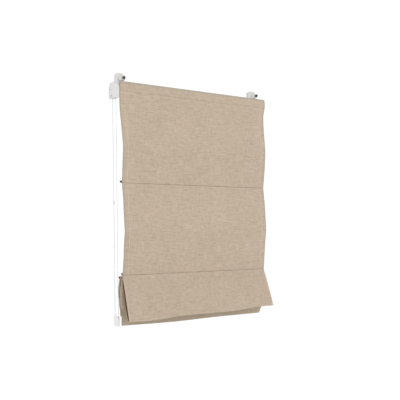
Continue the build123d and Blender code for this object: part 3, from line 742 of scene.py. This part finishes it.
# rows near a rod or a seam keep still; panels move a little
pinned = [TAG[t] for t in ("top", "rod_1", "rod_1_low", "rod_2", "rod_2_low", "rod_3", "rod_4", "hem_bottom", "hem_top")]
S = SM
pin_s = np.array([S[p] for p in pinned])
for i in range(NR):
    d = np.min(np.abs(pin_s - S[i]))
    quiet = float(smooth(np.array((d - 4) / 40.0)))
    in_panels = i < TAG["rod_2"]
    for j in range(NC):
        x, s = COLS[j], S[i]
        e = min(x, 600 - x)
        a = 1.25 * nz(x * 0.0062, s * 0.0085, 2.0) + 0.5 * nz(x * 0.017, s * 0.02, 5.0)
        a *= quiet * (1.0 if in_panels else 0.5)
        # hem edges ripple
        side = 0.0 if x < 300 else 9.0
        a += (0.9 * math.exp(-e / 14.0)) * nz(s * 0.021, side, 11.0) * quiet * (1.0 if in_panels else 0.5)
        # puckers above and below the rod seams and the heading stitch
        for t, amp in (("rod_1", 0.34), ("rod_1_low", 0.34), ("rod_2", 0.34), ("rod_2_low", 0.30), ("below_heading", 0.16)):
            ds = abs(s - S[TAG[t]])
            if 1.0 < ds < 30.0:
                a += amp * math.exp(-ds / 11.0) * (1 - math.exp(-ds / 2.0)) * nz(x * 0.075, len(t) * 1.3, 4.0) * 1.6
        # row of heading stitches pulls the cloth in
        ds = s - S[TAG["top"]] - 32.0
        a -= 0.55 * math.exp(-(ds / 1.6) ** 2) - 0.30 * math.exp(-((abs(ds) - 5.0) / 2.6) ** 2)
        P[i, j] += N0[i, j] * a
N = normals(P)

# front side and back side; the back is thicker over the side hems
front_t, back_t = 0.42, 0.42
hem_extra = np.array([0.55 if min(c, 600 - c) <= 19 else (0.55 * max(0, 1 - (min(c, 600 - c) - 19) / 3.0)) for c in COLS])
F = P + N * front_t
B = P - N * (back_t + hem_extra)[None, :, None]


def grid_mesh(F, B):
    nr, nc = F.shape[:2]
    verts = [tuple(v * MM) for v in F.reshape(-1, 3)] + [tuple(v * MM) for v in B.reshape(-1, 3)]
    faces = []
    off = nr * nc
    idx = lambda i, j: i * nc + j
    for i in range(nr - 1):
        for j in range(nc - 1):
            a, b, c, d = idx(i, j), idx(i, j + 1), idx(i + 1, j + 1), idx(i + 1, j)
            faces.append((a, d, c, b))
            faces.append((a + off, b + off, c + off, d + off))
    for i in range(nr - 1):
        a, d = idx(i, 0), idx(i + 1, 0)
        faces.append((a, a + off, d + off, d))
        a, d = idx(i, nc - 1), idx(i + 1, nc - 1)
        faces.append((a, d, d + off, a + off))
    for j in range(nc - 1):
        a, b = idx(0, j), idx(0, j + 1)
        faces.append((a, b, b + off, a + off))
        a, b = idx(nr - 1, j), idx(nr - 1, j + 1)
        faces.append((a, a + off, b + off, b))
    uv = []
    for k in range(2):
        for i in range(nr):
            for j in range(nc):
                uv.append((COLS[j] * MM + 0.7 * k, S[i] * MM))
    return verts, faces, uv


M["cloth"] = cloth_material("melange_cloth", {t: float(S[TAG[t]]) * MM for t in (
    "top", "flap_top", "flap_bottom", "rod_3", "loop_2_bottom", "hem_top", "hem_bottom")}, 0.912)
verts, faces, uv = grid_mesh(F, B)
sheet = new_mesh_object("cloth_sheet", verts, faces, True, uv)
give(sheet, M["cloth"])
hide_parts("cloth_upper", "cloth_middle", "cloth_stack")

# ---------------------------------------------------------------- stitches
stitches = ([], [])


def surface(x, s, side="front"):
    i = int(np.clip(np.searchsorted(S, s) - 1, 0, NR - 2))
    j = int(np.clip(np.searchsorted(COLS, x) - 1, 0, NC - 2))
    a = (s - S[i]) / (S[i + 1] - S[i] + 1e-9)
    b = (x - COLS[j]) / (COLS[j + 1] - COLS[j])
    G = F if side == "front" else B
    p = (G[i, j] * (1 - a) * (1 - b) + G[i + 1, j] * a * (1 - b) + G[i, j + 1] * (1 - a) * b + G[i + 1, j + 1] * a * b)
    n = N[i, j] if side == "front" else -N[i, j]
    return Vector(p), Vector(n)


def stitch(p, q, n):
    """A short raised thread from p to q, both ends sunk in the cloth, in mm."""
    pts, rad = [], []
    for t, lift, r in ((0, -0.20, 0.16), (0.16, 0.03, 0.21), (0.5, 0.10, 0.23), (0.84, 0.03, 0.21), (1, -0.20, 0.16)):
        pts.append((p.lerp(q, t) + n * lift) * MM)
        rad.append(r * MM)
    add_part(stitches, tube(pts, rad, 6))


def stitch_line(points, side="front", length=2.6, gap=0.9):
    """Points are (x, s) on the flat cloth, in mm."""
    path = []
    for (x0, s0), (x1, s1) in zip(points, points[1:]):
        d = math.hypot(x1 - x0, s1 - s0)
        m = int(d // (length + gap))
        for k in range(m):
            t0 = (k * (length + gap) + 0.4) / d
            t1 = t0 + length / d
            path.append(((x0 + (x1 - x0) * t0, s0 + (s1 - s0) * t0), (x0 + (x1 - x0) * t1, s0 + (s1 - s0) * t1)))
    for a, b in path:
        p, n = surface(*a, side)
        q, _ = surface(*b, side)
        if (p - q).length < 2.2 * length:
            stitch(p, q, n)


s_top = S[TAG["top"]]
s_r1, s_r1l = S[TAG["rod_1"]], S[TAG["rod_1_low"]]
s_r2, s_r2l = S[TAG["rod_2"]], S[TAG["rod_2_low"]]
s_fb, s_fk = S[TAG["flap_bottom"]], S[TAG["flap_back"]]
s_r3, s_l2, s_r4 = S[TAG["rod_3"]], S[TAG["loop_2_bottom"]], S[TAG["rod_4"]]
s_ht, s_hb, s_end = S[TAG["hem_top"]], S[TAG["hem_bottom"]], S[TAG["end"]]
for x in (19.0 - 1.2, 600 - 19.0 + 1.2):
    stitch_line([(x, s_top + 4), (x, s_r1 - 2)])
    stitch_line([(x, s_r1l + 2), (x, s_r2 - 2)])
    stitch_line([(x, s_r2l + 2), (x, s_fb - 4)])
    stitch_line([(x, s_fk + 4), (x, s_r3 - 8)])
    stitch_line([(x, s_r3 + 24), (x, s_l2 - 4)])
    stitch_line([(x, s_r4 + 24), (x, s_ht - 3)])
stitch_line([(4, s_top + 32.0), (596, s_top + 32.0)])
stitch_line([(4, s_top + 5.0), (596, s_top + 5.0)])
stitch_line([(4, s_ht + 2.0), (596, s_ht + 2.0)])
thread = new_mesh_object("hem_stitches", stitches[0], stitches[1])
give(thread, M["thread"])

# thread loops that tie each ring to its rod pocket
ties = ([], [])
tie_of = {1: "root", 2: "stack", 3: "stack", 4: "stack"}
for n in (1, 2, 3, 4):
    lo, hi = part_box("cord_rings_%d" % n)
    zc = (lo.z + hi.z) / 2
    store = ([], [])
    for sx in (-0.2, 0.2):
        yc = lo.y if n < 4 else hi.y
        for k in (-1, 0, 1):
            pts = []
            for i in range(17):
                a = 2 * math.pi * i / 16
                pts.append((sx + k * 0.0007 + 0.0002 * math.sin(a * 2), yc + (0.0001 if n < 4 else -0.0001) + 0.0016 * math.cos(a), zc + 0.0013 * math.sin(a)))
            add_part(store, tube(pts, 0.00026, 6, False))
    ob = new_mesh_object("ring_ties_%d" % n, store[0], store[1])
    give(ob, M["thread"])
    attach(ob, tie_of[n])

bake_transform(sheet)
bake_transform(thread)

# --------------------------------------------------------------- surroundings
floor_m, nt, bs = clear_material("studio_floor")
coord = node(nt, "ShaderNodeTexCoord").outputs["Object"]
nt.links.new(ramp(nt, noise_node(nt, coord, 3.0, 2.0), [(0.3, (0.955, 0.955, 0.955)), (0.7, (0.975, 0.975, 0.975))]), bs.inputs["Base Color"])
bs.inputs["Roughness"].default_value = 0.9
fv = [(-9, -9, -1.35), (9, -9, -1.35), (9, 9, -1.35), (-9, 9, -1.35)]
floor = new_mesh_object("studio_floor", fv, [(0, 1, 2, 3)], False)
give(floor, floor_m)

world = bpy.data.worlds.new("studio")
scene.world = world
world.use_nodes = True
world.node_tree.nodes["Background"].inputs["Color"].default_value = (1.0, 1.0, 1.0, 1.0)
world.node_tree.nodes["Background"].inputs["Strength"].default_value = 1.04


def area_light(name, place, look_at, size, power, colour=(1, 1, 1)):
    data = bpy.data.lights.new(name, "AREA")
    data.shape = "RECTANGLE"
    data.size, data.size_y = size
    data.energy = power
    data.color = colour
    ob = bpy.data.objects.new(name, data)
    scene.collection.objects.link(ob)
    ob.location = place
    ob.rotation_euler = (Vector(look_at) - Vector(place)).to_track_quat("-Z", "Y").to_euler()
    return ob


area_light("key", (-2.7, -2.0, 0.5), (0.0, 0.0, -0.45), (1.4, 1.4), 15.5)
area_light("fill", (2.3, -1.4, 0.0), (0.3, 0.0, -0.4), (1.2, 1.2), 6.0)
area_light("overhead", (0.2, -0.8, 2.6), (0.2, -0.6, -1.35), (3.0, 3.0), 16.0)

scene.view_settings.view_transform = "Standard"
scene.view_settings.look = "None"
scene.view_settings.exposure = 0.0
scene.view_settings.gamma = 1.0
